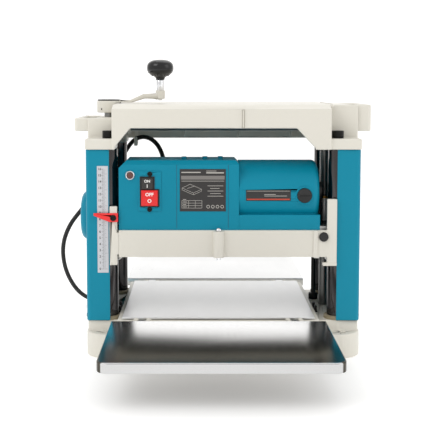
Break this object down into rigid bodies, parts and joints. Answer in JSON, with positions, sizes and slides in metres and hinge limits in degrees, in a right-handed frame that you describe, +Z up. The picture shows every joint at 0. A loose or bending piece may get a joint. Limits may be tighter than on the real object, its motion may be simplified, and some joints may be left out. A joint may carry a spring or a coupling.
{
  "type": "thickness planer",
  "caption": "Portable electric thickness planer with a crank-lifted cutter head on columns, folding polished extension tables, switch and mains cord.",
  "frame": {"origin": "centre of the footprint of the machine with its tables folded out, on the surface it stands on", "axes": "+X to the right along the working width, +Y along the feed from infeed to outfeed, +Z up"},
  "size_m": [0.5418, 0.771, 0.4747],
  "materials": {
    "cream_paint": "satin paint on cast aluminium",
    "blue_paint": "satin blue paint",
    "blue_plastic": "satin blue moulded plastic",
    "polished_steel": "polished sheet",
    "chrome": "hard chrome",
    "black_oxide": "black oxide steel",
    "black_plastic": "fine grained plastic",
    "steel": "machined steel",
    "cast_alloy": "cast and machined",
    "bronze": "bearing bronze",
    "rubber": "black rubber",
    "copper_core": "laminations with copper windings",
    "red_paint": "red plastic",
    "dark_plate": "printed plate",
    "scale_plate": "printed aluminium",
    "button_grey": "moulded",
    "button_red": "moulded",
    "lens": "tinted lens",
    "light_plastic": "moulded",
    "carbon": "graphite",
    "cord_jacket": "rubber jacket",
    "brass": "plated pins"
  },
  "bodies": {
    "frame": {"base_casting": "cream_paint", "main_table": "polished_steel", "side_stops": "black_oxide", "hinge_pins": "steel", "columns": "chrome", "column_screws": "black_oxide", "side_cover_left": "blue_paint", "side_cover_right": "blue_paint", "scale_plate": "scale_plate", "upper_frame": "cream_paint", "cord_hook": "light_plastic", "stop_rod": "black_oxide", "cord_drop": "cord_jacket", "cord_coil": "cord_jacket", "plug": "rubber", "plug_pins": "brass"},
    "front_table": {"front_table": "polished_steel"},
    "rear_table": {"rear_table": "polished_steel"},
    "crank": {"crank_arm": "cream_paint", "crank_spindle": "black_oxide", "lead_screw_left": "steel", "bevel_gear_left": "steel"},
    "knob": {"crank_knob": "black_plastic"},
    "cross_shaft": {"cross_shaft": "steel"},
    "right_screw": {"lead_screw_right": "steel", "bevel_gear_right": "steel"},
    "head": {"head_casting": "cast_alloy", "front_rail": "cream_paint", "head_brackets": "cream_paint", "pointer": "red_paint", "small_screws": "black_oxide", "lift_nuts": "bronze", "column_bushes": "bronze", "switch_housing": "blue_plastic", "motor_housing": "blue_plastic", "rating_plate": "dark_plate", "badge_plate": "dark_plate", "lamp_bezel": "light_plastic", "lamp_lens": "lens", "switch_plate": "black_plastic", "brush_caps": "black_plastic", "motor_stator": "copper_core", "carbon_brushes": "carbon", "drive_belt": "rubber", "belt_cover": "black_plastic", "feed_chain": "steel", "roller_blocks": "cast_alloy", "drum_bearings": "steel", "chip_cover": "blue_plastic", "cord_guard": "rubber", "cord_lead": "cord_jacket"},
    "on_button": {"on_button": "button_grey"},
    "off_button": {"off_button": "button_red"},
    "gauge": {"gauge_pin": "chrome"},
    "drum": {"cutter_drum": "steel", "planer_knives": "steel", "set_plates": "steel"},
    "armature": {"armature": "copper_core"},
    "infeed": {"infeed_roller": "rubber"},
    "outfeed": {"outfeed_roller": "rubber"}
  },
  "joints": [
    {"name": "crank_turn", "type": "hinge", "parent": "frame", "child": "crank", "pos_m": [-0.192, 0, 0.39], "axis": [0, 0, 1], "range_deg": [-15660, 11700]},
    {"name": "head_lift", "type": "slide", "parent": "frame", "child": "head", "axis": [0, 0, 1], "range_m": [-0.087, 0.065], "deforming": ["cord_lead"]},
    {"name": "cross_shaft_turn", "type": "hinge", "parent": "frame", "child": "cross_shaft", "pos_m": [0, 0, 0.359], "axis": [1, 0, 0], "range_deg": [-15660, 11700]},
    {"name": "right_screw_turn", "type": "hinge", "parent": "frame", "child": "right_screw", "pos_m": [0.176, 0, 0.359], "axis": [0, 0, 1], "range_deg": [-11700, 15660]},
    {"name": "knob_spin", "type": "hinge", "parent": "crank", "child": "knob", "pos_m": [-0.1046, 0, 0.45], "axis": [0, 0, 1], "continuous": true},
    {"name": "front_table_fold", "type": "hinge", "parent": "frame", "child": "front_table", "pos_m": [0, -0.151, 0.058], "axis": [-1, 0, 0], "range_deg": [0, 90]},
    {"name": "rear_table_fold", "type": "hinge", "parent": "frame", "child": "rear_table", "pos_m": [0, 0.151, 0.058], "axis": [1, 0, 0], "range_deg": [0, 90]},
    {"name": "on_button_press", "type": "slide", "parent": "head", "child": "on_button", "axis": [0, 1, 0], "range_m": [0, 0.003], "stiffness_N_per_m": 400, "springref_m": -0.002},
    {"name": "off_button_press", "type": "slide", "parent": "head", "child": "off_button", "axis": [0, 1, 0], "range_m": [0, 0.003], "stiffness_N_per_m": 400, "springref_m": -0.002},
    {"name": "gauge_press", "type": "slide", "parent": "head", "child": "gauge", "axis": [0, 0, 1], "range_m": [0, 0.006], "stiffness_N_per_m": 60, "springref_m": -0.004},
    {"name": "drum_spin", "type": "hinge", "parent": "head", "child": "drum", "pos_m": [0, 0, 0.178], "axis": [1, 0, 0], "continuous": true},
    {"name": "armature_spin", "type": "hinge", "parent": "head", "child": "armature", "pos_m": [0, -0.066, 0.258], "axis": [1, 0, 0], "continuous": true},
    {"name": "infeed_spin", "type": "hinge", "parent": "head", "child": "infeed", "pos_m": [0, -0.046, 0.1695], "axis": [1, 0, 0], "continuous": true},
    {"name": "outfeed_spin", "type": "hinge", "parent": "head", "child": "outfeed", "pos_m": [0, 0.046, 0.1695], "axis": [1, 0, 0], "continuous": true}
  ],
  "couplings": [
    {"joint": "head_lift", "follows": "crank_turn", "m_per_rad": 0.00031831},
    {"joint": "cross_shaft_turn", "follows": "crank_turn", "ratio": 1},
    {"joint": "right_screw_turn", "follows": "crank_turn", "ratio": -1},
    {"joint": "armature_spin", "follows": "drum_spin", "ratio": 1.7273},
    {"joint": "infeed_spin", "follows": "drum_spin", "ratio": -0.011111},
    {"joint": "outfeed_spin", "follows": "drum_spin", "ratio": -0.011111}
  ]
}
